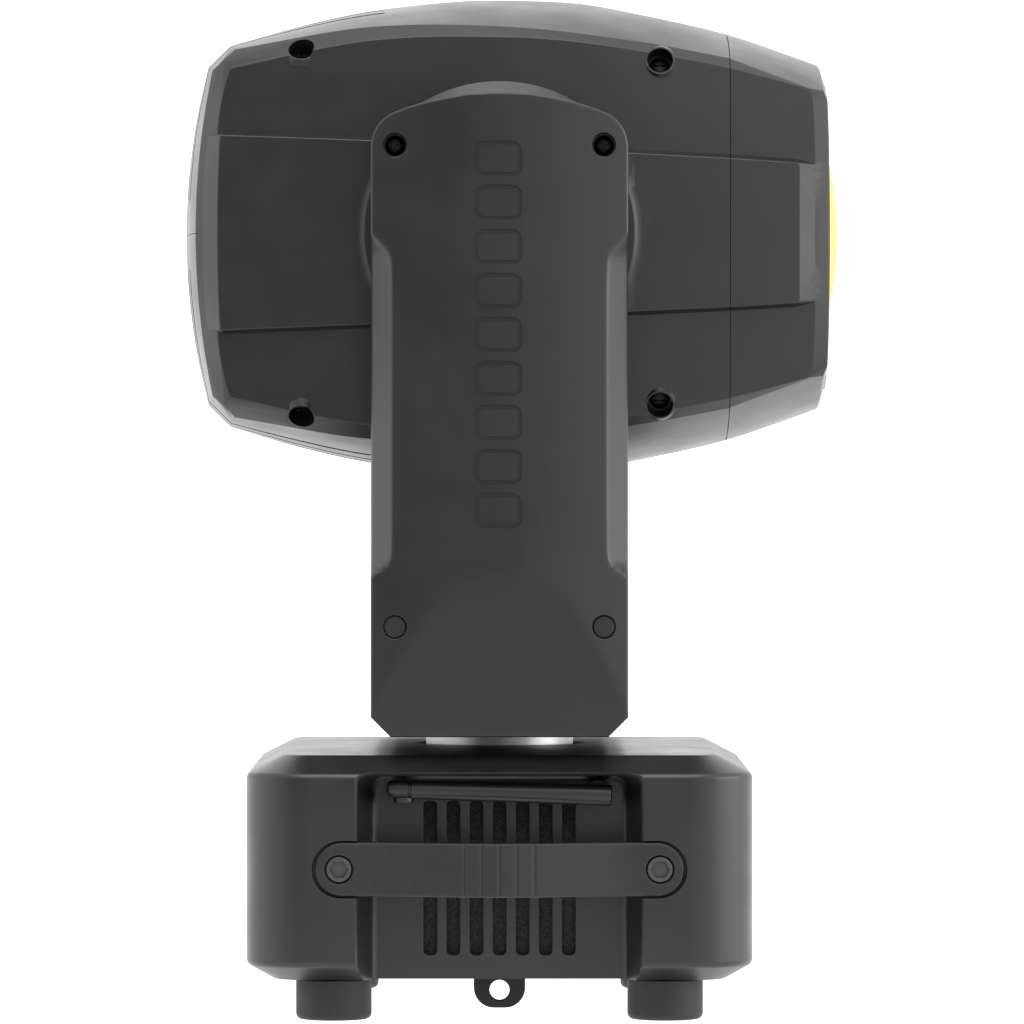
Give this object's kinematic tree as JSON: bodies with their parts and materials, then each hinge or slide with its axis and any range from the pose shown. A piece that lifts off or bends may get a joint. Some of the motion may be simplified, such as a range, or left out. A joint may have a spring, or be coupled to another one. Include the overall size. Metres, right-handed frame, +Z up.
{
  "type": "moving head light",
  "caption": "Compact moving head stage light: a boxy base with side handles, a panning two-arm yoke and a tilting head with a domed lens.",
  "frame": {"origin": "on the pan axis at the flat underside of the base", "axes": "+Z up along the pan axis, +X the way the beam leaves when the head is level, +Y to the left; the tilt axis runs along Y"},
  "size_m": [0.2687, 0.274, 0.4155],
  "materials": {
    "casing": "fine moulded texture, matte",
    "strap": "soft matte",
    "foot_rubber": "matte",
    "black_steel": "black oxide, satin",
    "plated_steel": "zinc plated, satin",
    "antenna_plastic": "smooth matte",
    "panel_plastic": "fine matte",
    "display": "gloss",
    "button_rubber": "matte",
    "socket_plastic": "moulded nylon",
    "board": "solder mask",
    "aluminium": "plain",
    "motor": "satin black",
    "belt": "matte",
    "lens_glass": "clear, lit warm yellow from behind",
    "led": "lit"
  },
  "bodies": {
    "base": {"base_shell": "casing", "base_bottom_plate": "black_steel", "foot_1": "foot_rubber", "foot_2": "foot_rubber", "foot_3": "foot_rubber", "foot_4": "foot_rubber", "handle_right": "strap", "handle_left": "strap", "handle_bolt_1": "black_steel", "handle_bolt_2": "black_steel", "handle_bolt_3": "black_steel", "handle_bolt_4": "black_steel", "safety_eyelet": "plated_steel", "antenna_jack": "black_steel", "control_panel": "panel_plastic", "display_window": "display", "connector_panel": "panel_plastic", "power_inlet": "socket_plastic", "power_outlet": "socket_plastic", "data_inlet": "socket_plastic", "data_outlet": "socket_plastic", "power_supply": "aluminium", "main_board": "board", "pan_bearing": "aluminium", "pan_motor": "motor", "pan_belt": "belt"},
    "pan_motor_drive": {"pan_motor_pulley": "plated_steel"},
    "antenna_whip": {"antenna": "antenna_plastic"},
    "menu_button_1": {"menu_button_1": "button_rubber"},
    "menu_button_2": {"menu_button_2": "button_rubber"},
    "menu_button_3": {"menu_button_3": "button_rubber"},
    "menu_button_4": {"menu_button_4": "button_rubber"},
    "yoke": {"pan_hub": "aluminium", "pan_pulley": "aluminium", "yoke_channel": "plated_steel", "yoke_bridge_cover": "casing", "arm_plate_right": "plated_steel", "arm_plate_left": "plated_steel", "arm_outer_cover_right": "casing", "arm_outer_cover_left": "casing", "arm_inner_cover_right": "casing", "arm_inner_cover_left": "casing", "tilt_motor": "motor", "tilt_belt": "belt"},
    "tilt_motor_drive": {"tilt_motor_pulley": "plated_steel"},
    "head": {"head_chassis": "aluminium", "head_top_shell": "casing", "head_bottom_shell": "casing", "head_side_cover_right": "casing", "head_side_cover_left": "casing", "front_bezel": "casing", "front_lens": "lens_glass", "heatsink": "aluminium", "led_module": "led", "fan_housing": "panel_plastic", "color_wheel_motor": "motor", "tilt_pulley": "aluminium"},
    "fan": {"fan_rotor": "panel_plastic"},
    "color_wheel": {"color_wheel": "aluminium"},
    "focus_carriage": {"focus_carriage": "panel_plastic"}
  },
  "joints": [
    {"name": "pan", "type": "hinge", "parent": "base", "child": "yoke", "pos_m": [0, 0, 0.0905], "axis": [0, 0, 1], "range_deg": [-270, 270]},
    {"name": "tilt", "type": "hinge", "parent": "yoke", "child": "head", "pos_m": [0, 0, 0.3012], "axis": [0, 1, 0], "range_deg": [-225, 45]},
    {"name": "pan_motor_spin", "type": "hinge", "parent": "base", "child": "pan_motor_drive", "pos_m": [-0.058, -0.048, 0.06], "axis": [0, 0, 1], "range_deg": [-1080, 1080]},
    {"name": "tilt_motor_spin", "type": "hinge", "parent": "yoke", "child": "tilt_motor_drive", "pos_m": [0, 0.1, 0.1217], "axis": [0, 1, 0], "range_deg": [-900, 180]},
    {"name": "antenna_fold", "type": "hinge", "parent": "base", "child": "antenna_whip", "pos_m": [0.0395, -0.1105, 0.0752], "axis": [0, 0, 1], "range_deg": [0, 90]},
    {"name": "menu_button_1_press", "type": "slide", "parent": "base", "child": "menu_button_1", "axis": [-1, 0, 0], "range_m": [0, 0.0012], "stiffness_N_per_m": 300},
    {"name": "menu_button_2_press", "type": "slide", "parent": "base", "child": "menu_button_2", "axis": [-1, 0, 0], "range_m": [0, 0.0012], "stiffness_N_per_m": 300},
    {"name": "menu_button_3_press", "type": "slide", "parent": "base", "child": "menu_button_3", "axis": [-1, 0, 0], "range_m": [0, 0.0012], "stiffness_N_per_m": 300},
    {"name": "menu_button_4_press", "type": "slide", "parent": "base", "child": "menu_button_4", "axis": [-1, 0, 0], "range_m": [0, 0.0012], "stiffness_N_per_m": 300},
    {"name": "fan_spin", "type": "hinge", "parent": "head", "child": "fan", "pos_m": [-0.109, 0, 0.3012], "axis": [1, 0, 0], "continuous": true},
    {"name": "color_wheel_spin", "type": "hinge", "parent": "head", "child": "color_wheel", "pos_m": [-0.021, 0, 0.3312], "axis": [1, 0, 0], "continuous": true},
    {"name": "focus_travel", "type": "slide", "parent": "head", "child": "focus_carriage", "axis": [1, 0, 0], "range_m": [-0.02, 0.035]}
  ],
  "couplings": [
    {"joint": "pan_motor_spin", "follows": "pan", "ratio": 4},
    {"joint": "tilt_motor_spin", "follows": "tilt", "ratio": 4}
  ]
}
